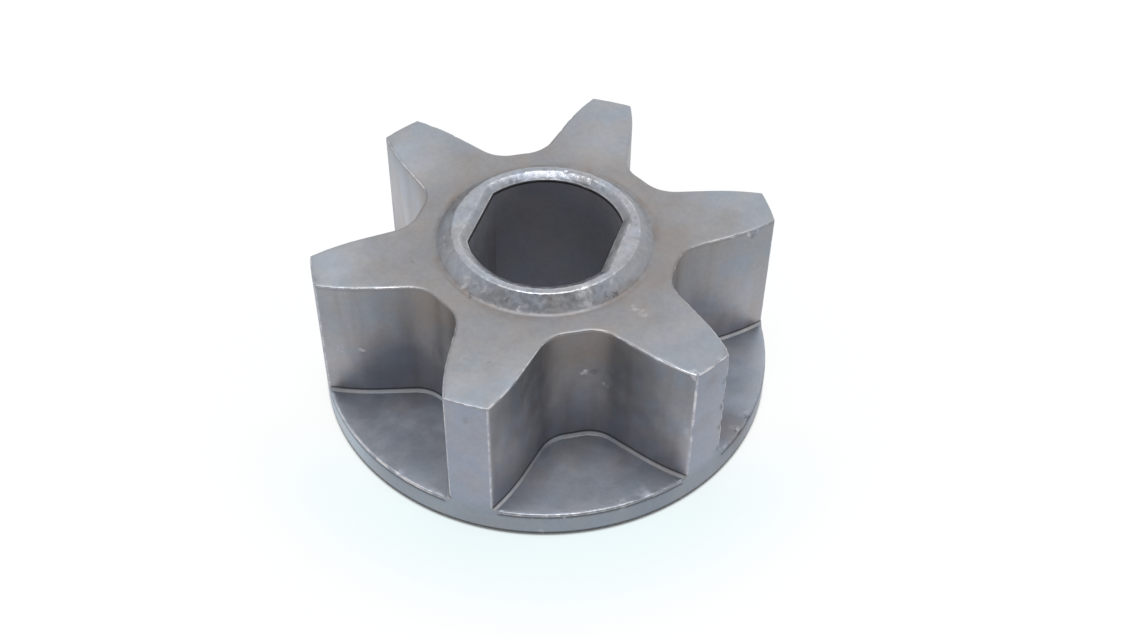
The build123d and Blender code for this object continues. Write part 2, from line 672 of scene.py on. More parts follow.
    def wear(self, skin: Skin) -> bpy.types.NodeSocket:
        """Find how far each edge is rubbed bright.

        Args:
            skin: Coordinates and zones of the piece.

        Returns:
            The share of bright steel, broken up along the edge, and faded by painted shade on the far side
            and on the right of the rim.
        """
        bench = skin.bench
        burr = bench.math("SUBTRACT", bench.noise(skin.place, Grain.BURR), 0.5)
        rub = skin.marks(MarkKind.RUB)
        rubbed = bench.math("ADD", 1.0, bench.times(rub, self.rub_gain))
        ragged = bench.math("ADD", skin.patch(Zone.EDGE, rubbed), bench.times(burr, self.burr_depth))
        # Painted shade: the worn lip of the rim dims towards the right, and the worn edges towards the far
        # side
        right_rim_shade = bench.times(bench.remap(skin.across, self.right_rim_painted_shade), bench.rest(rub))
        return bench.fold("MULTIPLY", [
            bench.remap(ragged, self.wear_start),
            bench.remap(skin.scuff, self.wear_breaks),
            bench.remap(skin.along, self.far_side_painted_shade),
            bench.rest(skin.patch(Zone.RIM, right_rim_shade)),
        ])

    def bare(self, skin: Skin) -> bpy.types.NodeSocket:
        """Find the colour of the clean steel, with its painted light and shade.

        Args:
            skin: Coordinates and zones of the piece.

        Returns:
            The colour, which drifts between warm and cool and is mottled at two scales, with a painted
            highlight on the ledge, painted shade on the front and right of the rim, and painted light where
            the pale wipes lie.
        """
        bench = skin.bench
        cloud = bench.math("SUBTRACT", bench.noise(skin.place, Grain.CLOUD), 0.5)
        drift = bench.times(cloud, self.cooling_drift)
        cool = bench.remap(bench.math("ADD", skin.radius, drift), self.cooling)
        tone = bench.blend(cool, self.hub_tone, self.tip_tone)
        # Painted shade: the rim's tone turns from lit on the left to shaded at the front and right
        rim_lit_and_shaded = bench.blend(bench.remap(skin.across, self.rim_painted_shade_turn), self.rim_lit_tone, self.rim_shade_tone)
        on_rim = bench.remap(skin.height, self.rim_top)
        for zone, share, colour in (
            (Zone.RIM, self.rim_share, bench.blend(on_rim, self.tip_face_tone, rim_lit_and_shaded)),
            (Zone.WALL, bench.remap(skin.height, self.wall_fade), self.wall_tone),
            (Zone.FLOOR, self.floor_share, self.floor_tone),
            (Zone.COLLAR, self.collar_share, self.collar_tone),
            (Zone.BORE, 1.0, self.bore_tone),
            # Painted highlight on the ledge
            (Zone.LEDGE, 1.0, self.ledge_highlight_tone),
        ):
            tone = bench.blend(skin.patch(zone, share), tone, colour)
        hue = bench.remap(bench.noise(skin.place, Grain.HUE), self.hue_turn)
        tint = bench.blend(hue, self.warm_tint, self.cool_tint)
        tone = bench.blend(bench.remap(skin.zone[Zone.WALL], self.tint_share), tone, tint, "MULTIPLY")
        clouds = bench.math("ADD", skin.patch(Zone.COLLAR, self.collar_clouds), self.cloud_depth)
        freckles = bench.math("ADD", skin.patch(Zone.COLLAR, self.collar_freckles), self.freckle_depth)
        shade = bench.fold("ADD", [
            1.0,
            bench.times(bench.remap(skin.mottle, self.cloudiness), clouds),
            bench.times(bench.remap(skin.speckle, self.freckling), freckles),
            # Pale wipes, and painted light on two flanks
            bench.times(skin.marks(MarkKind.WIPE), self.wipe_and_light_gain),
        ])
        return bench.scale(tone, shade)

    def soil(self, skin: Skin, tone: Feed, pits: Feed) -> bpy.types.NodeSocket:
        """Lay dirt and painted shade on the clean steel.

        Args:
            skin: Coordinates and zones of the piece.
            tone: Colour of the clean steel.
            pits: Weight of the dark pits.

        Returns:
            The colour with grey film, brown stains and black pits, and painted shade: darker towards the
            bottom of the bore and of each root, dark lines in creases and hollows, and dimmed patches; the
            gap floors also darken towards the rim.
        """
        bench = skin.bench
        # Grey film, and painted shade that darkens the bore and the roots towards the bottom
        film_and_shade = bench.fold("MAXIMUM", [
            skin.patch(Zone.BORE, bench.remap(skin.height, self.bore_painted_shade)),
            skin.patch(Zone.ROOT, bench.remap(skin.height, self.root_painted_shade)),
            skin.patch(Zone.FLOOR, bench.remap(skin.radius, self.floor_outer_darkening)),
            skin.marks(MarkKind.FILM),
        ])
        upright = bench.vector("MULTIPLY", skin.place, self.streak_run).outputs[0]
        streak = bench.noise(upright, Grain.STREAK)
        stain = bench.fold("MAXIMUM", [
            skin.patch(Zone.WALL, bench.remap(streak, self.wall_stain)),
            skin.patch(Zone.ROOT, bench.remap(skin.height, self.root_stain)),
            skin.patch(Zone.FOOT, bench.remap(skin.mottle, self.foot_stain)),
            bench.times(skin.marks(MarkKind.SMUDGE), self.smudge_share),
        ])
        # Painted shade: dark lines in creases, under edges, in the groove and at the floor, together with the
        # real pits
        shaded_lines = skin.patch(Zone.SEAM, self.shaded_line_share)
        shaded_lines_and_pits = bench.math("MAXIMUM", shaded_lines, bench.times(pits, self.pit_share))
        for share, dirt in ((film_and_shade, self.film_and_shade_tone), (stain, self.stain_tone), (shaded_lines_and_pits, self.shade_and_pit_tone)):
            tone = bench.blend(share, tone, dirt)
        return tone

    def scrape(self, skin: Skin, tone: Feed, worn: Feed) -> bpy.types.NodeSocket:
        """Bring out bright steel on rubbed edges and in scuffs.

        Args:
            skin: Coordinates and zones of the piece.
            tone: Colour of the soiled steel.
            worn: Share of bright steel on the edges.

        Returns:
            The finished colour.
        """
        bench = skin.bench
        scuffed = bench.times(skin.marks(MarkKind.SCUFF), bench.remap(skin.speckle, self.scuff_breaks))
        return bench.blend(bench.math("MAXIMUM", worn, scuffed), tone, self.worn_tone)

    def roughness(self, skin: Skin, worn: Feed) -> Feed:
        """Roughness of the surface: satin, smoother on rubbed steel, duller in the bore."""
        bench = skin.bench
        return bench.fold("ADD", [
            bench.remap(skin.mottle, self.satin),
            bench.times(worn, self.worn_polish),
            skin.patch(Zone.COLLAR, bench.remap(skin.speckle, self.collar_polish)),
            skin.patch(Zone.FOOT, self.foot_dullness),
            skin.patch(Zone.BORE, self.bore_dullness),
        ])

    def relief(self, skin: Skin, pits: Feed) -> bpy.types.NodeSocket:
        """Add fine relief: sintered grain, slow waves, a pitted collar and the dark pits.

        Args:
            skin: Coordinates and zones of the piece.
            pits: Weight of the dark pits.

        Returns:
            The bumped normal.
        """
        bench = skin.bench
        height = bench.fold("ADD", [
            bench.times(bench.noise(skin.place, Grain.GRIT), self.grit_height),
            bench.times(skin.mottle, self.wave_height),
            skin.patch(Zone.COLLAR, bench.times(skin.speckle, self.speckle_height)),
            bench.times(pits, self.pit_height),
        ])
        bump = bench.add("ShaderNodeBump", {
            "Strength": self.relief_strength, "Distance": self.relief_depth * MM, "Height": height})
        return bump.outputs["Normal"]


@dataclass
class ToothProfile:
    """Outline of one tooth with half a gap on each side, seen along the bore, tooth along +X."""

    rim_radius: float
    count: int = 6
    root_radius: float = 10.376
    base_width: float = 7.0
    tip_width: float = 3.34
    flank_angle: float = 9.3
    straight_length: float = 4.2
    root_fillet: float = 2.8
    corner_round: float = 0.14
    root_reach: float = 0.7
    tip_steps: int = 8
    tip_crowd: float = 1.5
    corner_steps: int = 4
    upper_steps: int = 18
    upper_crowd: float = 1.4
    lower_steps: int = 9
    fillet_steps: int = 11
    root_steps: int = 2

    def half(self) -> tuple[np.ndarray, np.ndarray]:
        """Draw the outline from the middle of the tip to the middle of a gap.

        Returns:
            The points, and at each the unit normal that points out of the steel.
        """
        lean = math.radians(self.flank_angle)
        along = np.array([math.cos(lean), -math.sin(lean)])
        outward = np.array([math.sin(lean), math.cos(lean)])
        base = np.array([math.sqrt(self.root_radius**2 - self.base_width**2 / 4), self.base_width / 2])
        bend = base + self.straight_length * along
        tip_angle = math.asin(self.tip_width / 2 / self.rim_radius)
        corner = self.rim_radius * np.array([math.cos(tip_angle), math.sin(tip_angle)])

        # Upper flank: an arc that leaves the straight flank at the bend and ends at the tip corner
        chord = corner - bend
        flank_radius = chord @ chord / (2 * (chord @ -outward))
        flank_centre = bend - flank_radius * outward

        # Eased corner: a small arc that touches the tip circle and the upper flank
        reach = np.linalg.norm(flank_centre)
        to_axis = self.rim_radius - self.corner_round
        to_flank = flank_radius - self.corner_round
        foot = (to_axis**2 - to_flank**2 + reach**2) / (2 * reach)
        side = np.array([-flank_centre[1], flank_centre[0]]) / reach
        ease_centre = foot * flank_centre / reach + math.sqrt(to_axis**2 - foot**2) * side

        # Root fillet: an arc that touches the straight flank and the root circle
        start = bend + self.root_fillet * outward
        slide = start @ along
        ring = self.root_radius + self.root_fillet
        fillet_centre = start - (slide - math.sqrt(slide**2 - start @ start + ring**2)) * along

        origin = np.zeros(2)
        ease_start, ease_end = bearing(ease_centre), bearing(ease_centre - flank_centre)
        tip = arc(origin, self.rim_radius, ease_start, 0.0, self.tip_steps, self.tip_crowd)
        ease = arc(ease_centre, self.corner_round, ease_start, ease_end, self.corner_steps)
        upper = arc(flank_centre, flank_radius, ease_end, bearing(outward),
                    self.upper_steps, self.upper_crowd)
        foot_of_flank = fillet_centre - self.root_fillet * outward
        share = np.linspace(0, 1, self.lower_steps + 1)[:, None]
        lower = (bend + share * (foot_of_flank - bend), np.broadcast_to(outward, (len(share), 2)))
        root_start = bearing(fillet_centre)
        fillet_end = root_start - math.pi
        fillet = arc(fillet_centre, self.root_fillet, bearing(-outward), fillet_end, self.fillet_steps)
        root = arc(origin, self.root_radius, root_start, math.pi / self.count, self.root_steps)

        points = [tip[0][::-1]] + [run[0][1:] for run in (ease, upper, lower, fillet, root)]
        normals = [tip[1][::-1]] + [run[1][1:] for run in (ease, upper, lower)]
        normals += [-fillet[1][1:], root[1][1:]]
        return np.concatenate(points), np.concatenate(normals)

    def sector(self) -> tuple[np.ndarray, np.ndarray]:
        """Draw the whole outline, from the middle of one gap to the middle of the next.

        Returns:
            The points and their normals.
        """
        flip = np.array([1.0, -1.0])
        points, normals = self.half()
        return (np.concatenate([(points * flip)[:0:-1], points]),
                np.concatenate([(normals * flip)[:0:-1], normals]))

    def corner_share(self) -> np.ndarray:
        """Find how close each point of the sector is to an eased tip corner.

        Returns:
            The closeness, from 0 to 1.
        """
        points, _ = self.sector()
        side = (len(points) - 1) // 2
        step = np.abs(np.arange(-side, side + 1)) - self.tip_steps - self.corner_steps / 2
        return np.clip(1.0 - (np.abs(step) - self.corner_steps / 2), 0.0, 1.0)

    def root_share(self) -> np.ndarray:
        """Find how far each point of the sector belongs to the root between two teeth.

        Returns:
            The share, from 0 to 1.
        """
        points, _ = self.sector()
        depth = np.linalg.norm(points, axis=1) - self.root_radius
        return smooth_step(1.0 - depth / (self.root_reach * self.root_fillet))

    def angles(self) -> np.ndarray:
        """Angle of each point of the sector, in radians."""
        points, _ = self.sector()
        return np.arctan2(points[:, 1], points[:, 0])


@dataclass
class ToothRing:
    """The six teeth and the flange that they stand on, without the hub."""

    profile: ToothProfile
    crown_height: float
    collar_foot: float
    floor_height: float = FLOOR
    edge_round: float = 0.13
    ledge: float = 0.22
    seam: float = 0.12
    rim_round: float = 0.18
    rim_groove: float = 0.06
    back_chamfer: float = 0.25

    # Distances over which the tip faces and the lips run out, and how far rows close up on a tip
    gap_fade: float = 0.3
    lip_fade: float = 0.6
    tip_fade: float = 0.1
    tip_sink: float = 0.06

    # Wear that the top edge keeps at both ends of its round, and loses in a root
    edge_ends: float = 0.2
    root_dulling: float = 0.6

    # Shares of the way out over the top and the floor, and drops of the fine rows at the edges.
    # A row of the ledge has its share of the way down and how much of the ledge's painted highlight it takes.
    foot_strip: float = 0.04
    top_limit: float = 0.94
    edge_strip: float = 0.02
    under_edge: tuple[float, float, float] = (0.06, 0.14, 0.24)
    seam_strip: float = 0.06
    seam_gap: float = 0.02
    ledge_rows: tuple[tuple[float, float], ...] = ((0.15, 0.3), (0.32, 1.0), (0.82, 1.0))
    floor_start: tuple[float, float] = (0.012, 0.05)
    floor_limit: float = 0.93
    lip_strip: float = 0.985
    lip_start: float = 0.9
    groove_drops: tuple[float, float, float] = (0.06, 0.17, 0.24)
    back_rises: tuple[float, float] = (0.24, 0.12)

    top_rows: int = 8
    wall_rows: int = 30
    floor_rows: int = 9
    edge_rows: int = 4
    rim_rows: int = 6
    back_rows: int = 5

    def __post_init__(self) -> None:
        """Work out the lines that the rows follow."""
        rim = self.profile.rim_radius
        self.outline, self.normal = self.profile.sector()
        self.corner = self.profile.corner_share()
        self.root = self.profile.root_share()
        self.spoke = spokes(self.profile.angles())
        self.quarter = np.linspace(0, math.pi / 2, self.edge_rows + 1)

        # How far each point stands from the rim, along its normal: nothing on a tip
        lean = np.sum(self.outline * self.normal, axis=1)
        away = lean**2 + rim**2 - np.sum(self.outline**2, axis=1)
        reach = np.sqrt(np.maximum(away, 0)) - lean
        self.in_gap = smooth_step(reach / self.gap_fade)
        self.on_tip = 1 - self.in_gap

        # Foot of the ledge, and the spoke from there to the rim
        self.wall_foot = self.floor_height + self.ledge
        self.step = np.minimum(self.ledge, reach)
        self.foot = self.outline + self.step[:, None] * self.normal
        self.foot_height = self.wall_foot - self.step
        distance = np.linalg.norm(self.foot, axis=1)
        self.rim_spoke = self.foot / distance[:, None]
        room = rim - distance
        self.opening = smooth_step(room / self.lip_fade)
        self.sink = self.tip_sink * (1 - smooth_step(room / self.tip_fade))

    def sector(self) -> bpy.types.Mesh:
        """Build one tooth with half a gap on each side, from the collar's foot round to the back.

        Returns:
            The open mesh of the sector.
        """
        stack = RingStack(closed=False)
        self.add_top(stack)
        self.add_wall(stack)
        self.add_floor(stack)
        self.add_rim(stack)
        self.add_back(stack)
        return stack.to_mesh("tooth_sector")

    def add_top(self, stack: RingStack) -> None:
        """Add the top face, from the collar's foot out over the worn edge.

        Args:
            stack: Stack that the rows go on.
        """
        hub = self.collar_foot * self.spoke
        shoulder = self.outline - self.edge_round * self.normal
        stack.add(hub, self.crown_height, {Zone.FOOT: 0.7})
        stack.add(hub + self.foot_strip * (shoulder - hub), self.crown_height, {Zone.FOOT: 0.35})
        for share in np.linspace(0, self.top_limit, self.top_rows + 1)[1:]:
            stack.add(hub + share * (shoulder - hub), self.crown_height, {})
        keen = 1.0 - self.root_dulling * self.root
        stack.add(shoulder + self.edge_strip * (hub - shoulder), self.crown_height,
                  {Zone.NICK: 0.3, Zone.EDGE: 0.1 * keen})
        for turn in self.quarter:
            inset = self.edge_round * (1 - math.sin(turn))
            drop = self.edge_round * (1 - math.cos(turn))
            worn = self.edge_ends + (1 - self.edge_ends) * math.sin(2 * turn)
            stack.add(self.outline - inset * self.normal, self.crown_height - drop,
                      {Zone.EDGE: keen * worn, Zone.NICK: 1.0})

    def add_wall(self, stack: RingStack) -> None:
        """Add the wall of the gap, down over the narrow ledge at its foot, with painted shade under the top
        edge and in the crease above the ledge, and a painted highlight on the ledge.

        Args:
            stack: Stack that the rows go on.
        """
        top = self.crown_height - self.edge_round
        seam_top = self.wall_foot + self.seam
        wall = {Zone.EDGE: 0.6 * self.corner, Zone.NICK: self.corner, Zone.WALL: self.in_gap,
                Zone.ROOT: self.root, Zone.RIM: self.on_tip}
        # Painted shade: a faint dark line just under the top edge
        shaded_under_edge = {**wall, Zone.SEAM: 0.15 * self.in_gap}
        first, second, third = self.under_edge
        stack.add(self.outline, top - first, {**shaded_under_edge, Zone.NICK: np.maximum(self.corner, 0.5)})
        stack.add(self.outline, top - second, shaded_under_edge)
        for height in np.linspace(top - third, seam_top + self.seam_strip, self.wall_rows + 1):
            stack.add(self.outline, height, wall)
        # Painted shade: a dark line in the crease above the ledge
        for height in (seam_top, self.wall_foot + self.seam_gap):
            stack.add(self.outline, height, {**wall, Zone.SEAM: 0.8 * self.in_gap})
        # Painted highlight on the ledge, with painted shade where it meets the wall
        for share, pale in self.ledge_rows:
            stack.add(self.outline + share * (self.foot - self.outline), self.wall_foot - share * self.step,
                      {**wall, Zone.LEDGE: pale * self.in_gap, Zone.SEAM: 0.6 * (1 - pale) * self.in_gap})
        stack.add(self.foot, self.foot_height,
                  {Zone.LEDGE: 0.2 * self.in_gap, Zone.SEAM: 0.5 * self.in_gap, Zone.FLOOR: self.in_gap,
                   Zone.RIM: self.on_tip})

    def add_floor(self, stack: RingStack) -> None:
        """Add the floor of the gap, out to the rim. On a tip its rows close up on the tip's own face.

        Args:
            stack: Stack that the rows go on.
        """
        radius = self.profile.rim_radius - self.rim_round * self.opening
        lip = radius[:, None] * self.rim_spoke
        middle = np.linspace(self.floor_start[-1], self.floor_limit, self.floor_rows)[1:]
        for share in (*self.floor_start, *middle, self.lip_strip, 1.0):
            lips = self.opening * max(0.0, (share - self.lip_start) / (1 - self.lip_start))
            stack.add(self.foot + share * (lip - self.foot), self.foot_height - share * self.sink,
                      {Zone.FLOOR: self.in_gap, Zone.RIM: self.on_tip,
                       Zone.EDGE: 0.3 * lips**4, Zone.NICK: lips})

    def add_rim(self, stack: RingStack) -> None:
        """Add the rim: a rounded edge in the gaps, a fine groove under it, then plain to the back, with
        painted shade in the groove and along the bottom edge at the floor.

        Args:
            stack: Stack that the rows go on.
        """
        rim = self.profile.rim_radius
        face = rim * self.rim_spoke
        lip_height = self.foot_height - self.sink
        groove_top = self.floor_height - self.rim_round
        for turn in self.quarter[1:]:
            radius = rim - self.rim_round * self.opening * (1 - math.sin(turn))
            stack.add(radius[:, None] * self.rim_spoke,
                      lip_height - (lip_height - groove_top) * (1 - math.cos(turn)),
                      {Zone.EDGE: 0.55 * self.opening, Zone.NICK: self.opening, Zone.RIM: 1.0})
        groove = (rim - self.rim_groove * self.opening)[:, None] * self.rim_spoke
        *in_groove, under_groove = self.groove_drops
        # Painted shade in the fine groove under the lip
        for drop in in_groove:
            stack.add(groove, groove_top - drop, {Zone.SEAM: 0.65 * self.opening, Zone.RIM: 1.0})
        plain_rise, dark_rise = self.back_rises
        plain_end = self.back_chamfer + plain_rise
        for height in np.linspace(groove_top - under_groove, plain_end, self.rim_rows + 1):
            stack.add(face, height, {Zone.RIM: 1.0})
        # Painted shade along the bottom edge, where the rim meets the floor
        for rise in (dark_rise, 0.0):
            stack.add(face, self.back_chamfer + rise, {Zone.RIM: 1.0, Zone.SEAM: 0.9})
        stack.add((rim - self.back_chamfer) * self.rim_spoke, 0.0, {Zone.RIM: 1.0, Zone.SEAM: 1.0})

    def add_back(self, stack: RingStack) -> None:
        """Add the back of the flange, turning each point to the angle that it has on the hub.

        Args:
            stack: Stack that the rows go on.
        """
        outer = self.profile.rim_radius - self.back_chamfer
        for share in np.linspace(0, 1, self.back_rows + 1)[1:]:
            turned = self.rim_spoke + share * (self.spoke - self.rim_spoke)
            radius = outer + share * (self.collar_foot - outer)
            stack.add(radius * turned / np.linalg.norm(turned, axis=1)[:, None], 0.0, {})


@dataclass
class HubCollar:
    """The raised collar and the double-D bore through it, out to the ring where the teeth start."""

    angles: np.ndarray
    crown_height: float
    collar_height: float
    bore_radius: float = 6.0
    half_flats: float = 5.25
    mouth_width: float = 0.72
    mouth_depth: float = 0.42
    crest_width: float = 0.48
    crest_round: float = 0.30
    slope_angle: float = 41.0
    foot_fillet: float = 0.6
    back_mouth: float = 0.4
    ease: float = 0.13

    # Drops of the rows at the top of the bore, widths of those on the lead-in, shares over the crest
    painted_shade_drops: tuple[float, float, float] = (0.22, 0.16, 0.02)
    mouth_line: float = 0.04
    mouth_edge: float = 0.09
    mouth_rows: tuple[float, float, float] = (0.17, 0.30, 0.45)
    crest_rows: tuple[float, float] = (0.33, 0.67)

    back_rows: int = 3
    bore_rows: int = 12
    ease_rows: int = 4
    round_rows: int = 5
    slope_rows: int = 9
    foot_rows: int = 6

    def __post_init__(self) -> None:
        """Work out what several rings share."""
        self.spoke = spokes(self.angles)
        self.slope = math.radians(self.slope_angle)
        self.mouth_floor = self.collar_height - self.mouth_depth
        self.crest_radius = self.bore_radius + self.mouth_width + self.crest_width
        self.round_centre = self.crest_radius - self.crest_round * math.tan(self.slope / 2)
        run = (self.collar_height - self.crown_height) / math.tan(self.slope)
        self.foot_radius = self.crest_radius + run + self.foot_fillet * math.tan(self.slope / 2)
        self.shiny = {Zone.COLLAR: 1.0, Zone.PITTED: 1.0}

    def double_d(self, offset: float) -> np.ndarray:
        """Radius of the bore's double-D outline at each angle, moved outwards by an offset."""
        flats = (self.half_flats + offset) / np.maximum(np.abs(np.cos(self.angles)), 1e-6)
        return np.minimum(self.bore_radius + offset, flats)

    def ring(self, stack: RingStack, radius: Weight, height: float, zones: dict[Zone, Weight]) -> None:
        """Add one ring of the hub.

        Args:
            stack: Stack that the ring goes on.
            radius: Radius of the ring, or of each point.
            height: Height of the ring.
            zones: How far the ring belongs to each zone.
        """
        stack.add(np.broadcast_to(radius, len(self.spoke))[:, None] * self.spoke, height, zones)

    def build(self) -> bpy.types.Mesh:
        """Build the hub from the back of the flange, up the bore and down the collar.

        Returns:
            The open mesh of the hub.
        """
        stack = RingStack(closed=True)
        self.add_bore(stack)
        self.add_mouth(stack)
        self.add_slope(stack)
        return stack.to_mesh("hub_collar")

    def add_bore(self, stack: RingStack) -> None:
        """Add the back face, its small lead-in and the wall of the bore, with a painted dark line of shade at
        the top.

        Args:
            stack: Stack that the rings go on.
        """
        back = self.double_d(self.back_mouth)
        for share in np.linspace(0, 1, self.back_rows + 1):
            self.ring(stack, self.foot_radius + share * (back - self.foot_radius), 0.0, {})
        bore = self.double_d(0.0)
        clean_drop, *shaded_drops = self.painted_shade_drops
        for height in np.linspace(self.back_mouth, self.mouth_floor - clean_drop, self.bore_rows + 1):
            self.ring(stack, bore, height, {Zone.BORE: 1.0})
        # Painted shade: a dark line at the top of the bore
        for drop in shaded_drops:
            self.ring(stack, bore, self.mouth_floor - drop, {Zone.SEAM: 1.0})

    def add_mouth(self, stack: RingStack) -> None:
        """Add the lead-in at the mouth, its eased inner edge and the crest, with painted shade along the
        bore's edge and over the lead-in.

        Args:
            stack: Stack that the rings go on.
        """
        fall = self.mouth_depth / self.mouth_width
        # Painted shade: a dark line at the bore's edge and a darker band over the lead-in
        lead_in = [(self.mouth_line, {Zone.SEAM: 0.9, Zone.NICK: 0.6}),
                   (self.mouth_edge, {Zone.COLLAR: 1.0, Zone.EDGE: 0.6, Zone.NICK: 0.8})]
        lead_in += [(width, {**self.shiny, Zone.SEAM: 0.2}) for width in self.mouth_rows]
        for width, zones in lead_in:
            self.ring(stack, self.double_d(width), self.mouth_floor + width * fall, zones)
        for share in np.linspace(0, 1, self.ease_rows + 1):
            width = self.mouth_width + self.ease * (2 * share - 1)
            self.ring(stack, self.double_d(width), self.collar_height - self.ease * fall * (1 - share) ** 2,
                      {**self.shiny, Zone.EDGE: 0.5 * math.sin(math.pi * share), Zone.NICK: 0.4})
        crest_inner = self.double_d(self.mouth_width + self.ease)
        for share in self.crest_rows:
            radius = crest_inner + share * (self.round_centre - crest_inner)
            self.ring(stack, radius, self.collar_height, self.shiny)

    def add_slope(self, stack: RingStack) -> None:
        """Add the rounded outer edge of the crest, the slope and the soft foot.

        Args:
            stack: Stack that the rings go on.
        """
        for turn in np.linspace(0, self.slope, self.round_rows + 1):
            self.ring(stack, self.round_centre + self.crest_round * math.sin(turn),
                      self.collar_height - self.crest_round * (1 - math.cos(turn)),
                      {**self.shiny, Zone.EDGE: 0.5 * math.sin(math.pi * turn / self.slope)})
        top = self.round_centre + self.crest_round * math.sin(self.slope)
        top_height = self.collar_height - self.crest_round * (1 - math.cos(self.slope))
        low = self.foot_radius - self.foot_fillet * math.sin(self.slope)
        low_height = self.crown_height + self.foot_fillet * (1 - math.cos(self.slope))
        for share in np.linspace(0, 1, self.slope_rows + 1)[1:]:
            self.ring(stack, top + share * (low - top), top_height + share * (low_height - top_height),
                      {**self.shiny, Zone.FOOT: 0.5 * smooth_step(2 * share - 1)})
        for turn in np.linspace(self.slope, 0, self.foot_rows + 1)[1:]:
            near = turn / self.slope
            self.ring(stack, self.foot_radius - self.foot_fillet * math.sin(turn),
                      self.crown_height + self.foot_fillet * (1 - math.cos(turn)),
                      {Zone.COLLAR: near, Zone.PITTED: near, Zone.FOOT: 1.0 - 0.3 * (1 - near)})


@dataclass
class Sprocket:
    """The whole sprocket as one closed piece."""

    finish: SinteredSteel
    rim_radius: float
    collar_height: float
    collar_rise: float = 1.05
    first_angle: float = 30.0
    weld: float = 0.002
    ripple: float = 0.045
    nick: float = 0.09
    nick_spread: Ramp = Ramp(0.58, 0.72)
    pit: float = 0.035
    pit_spread: Ramp = Ramp(0.45, 0.75)

    def build(self) -> bpy.types.Object:
        """Repeat the tooth, add the hub, wear the edges and dress the piece.

        Returns:
            The finished object.
        """
        crown = self.collar_height - self.collar_rise
        profile = ToothProfile(self.rim_radius)
        turns = np.arange(profile.count) * 2 * math.pi / profile.count
        around = (turns[:, None] + profile.angles()[:-1] + math.radians(self.first_angle)).ravel()
        hub = HubCollar(around, crown, self.collar_height)
        teeth = ToothRing(profile, crown, hub.foot_radius)
        hub_object = put("hub_collar", hub.build())
        mesh = self.tree(hub_object, profile.count).make(teeth.sector())
        bpy.data.objects.remove(hub_object)
        mesh.name = "sprocket_body"
        mesh.shade_smooth()
        return put("sprocket_body", mesh)

    def tree(self, hub: bpy.types.Object, count: int) -> ShapeTree:
        """Make the Geometry Nodes tree that turns one sector and the hub into the sprocket.

        Args:
            hub: Object that carries the hub's mesh.
            count: Number of teeth.

        Returns:
            The tree.
        """
        tree = ShapeTree("sprocket_form")
        teeth = tree.size("Tooth Count", "NodeSocketInt", count)
        start = tree.size("First Tooth Angle", "NodeSocketFloat", math.radians(self.first_angle))
        hub_input = tree.size("Hub", "NodeSocketObject", hub)
        weld = tree.size("Weld Distance", "NodeSocketFloat", self.weld * MM)
        finish = tree.size("Finish", "NodeSocketMaterial", self.finish.material())

        # One sector for each tooth, turned round the bore, and the hub in the middle
        points = tree.add("GeometryNodePoints", {"Count": teeth})
        turn = tree.times(tree.add("GeometryNodeInputIndex").outputs[0],
                          tree.math("DIVIDE", 2 * math.pi, teeth))
        rotation = tree.add("ShaderNodeCombineXYZ", {"Z": tree.math("ADD", turn, start)})
        copies = tree.add("GeometryNodeInstanceOnPoints", {
            "Points": points.outputs[0],
            "Instance": tree.entry.outputs["Geometry"],
            "Rotation": rotation.outputs[0],
        })
        middle = tree.add("GeometryNodeObjectInfo", {"Object": hub_input}, transform_space="ORIGINAL")
        whole = tree.add("GeometryNodeJoinGeometry", {0: copies.outputs[0]})
        tree.feed(whole.inputs[0], middle.outputs["Geometry"])
        real = tree.add("GeometryNodeRealizeInstances", {0: whole.outputs[0]})
        joined = tree.add("GeometryNodeMergeByDistance", {"Geometry": real.outputs[0], "Distance": weld})

        # Wear, which only takes steel away
        normal = tree.add("GeometryNodeInputNormal").outputs[0]
        inward = tree.scale(normal, tree.times(self.loss(tree), -1.0))
        moved = tree.add("GeometryNodeSetPosition", {"Geometry": joined.outputs[0], "Offset": inward})
        dressed = tree.add("GeometryNodeSetMaterial", {"Geometry": moved.outputs[0], "Material": finish})
        tree.feed(tree.exit.inputs[0], dressed.outputs[0])
        return tree

    def loss(self, tree: ShapeTree) -> Feed:
        """How much steel each point has lost.

        Args:
            tree: Tree of the sprocket, which gains the inputs for the wear.

        Returns:
            The depth, in metres: uneven along every edge, more at nicks and chips, fine on the collar.
        """
        ripple = tree.size("Edge Ripple", "NodeSocketFloat", self.ripple * MM)
        nick = tree.size("Nick Depth", "NodeSocketFloat", self.nick * MM)
        pit = tree.size("Pit Depth", "NodeSocketFloat", self.pit * MM)
        place = tree.scale(tree.add("GeometryNodeInputPosition").outputs[0], 1 / MM)
        wave = tree.noise(place, Grain.RIPPLE)
        bite = tree.remap(tree.noise(place, Grain.NICK), self.nick_spread)
        dimple = tree.remap(tree.noise(place, Grain.DIMPLE), self.pit_spread)
        edge = tree.math("ADD", tree.times(wave, ripple), tree.times(bite, nick))
        chips = tree.fold("ADD", [
            tree.near(place, chip.spot, chip.reach, chip.depth * MM) for chip in EDGE_CHIPS])
        return tree.fold("ADD", [
            tree.times(edge, tree.weight(Zone.NICK)),
            tree.times(tree.times(dimple, pit), tree.weight(Zone.PITTED)),
            chips,
        ])


@dataclass
class Lamp:
    """One soft square lamp that looks at the sprocket, with its place in metres."""

    name: str
    azimuth: float
    elevation: float
    distance: float
    side: float
    power: float

    def place(self, target: Vector) -> None:
        """Set the lamp up.

        Args:
            target: Point that it is aimed at.
        """
        data = bpy.data.lights.new(self.name, "AREA")
        data.size = self.side
        data.energy = self.power
        lamp = put(self.name, data)
        back = direction(self.azimuth, self.elevation)
        turn = back.to_track_quat("Z", "Y").to_matrix().to_4x4()
        lamp.matrix_world = Matrix.Translation(target + self.distance * back) @ turn
        lamp.visible_camera = False


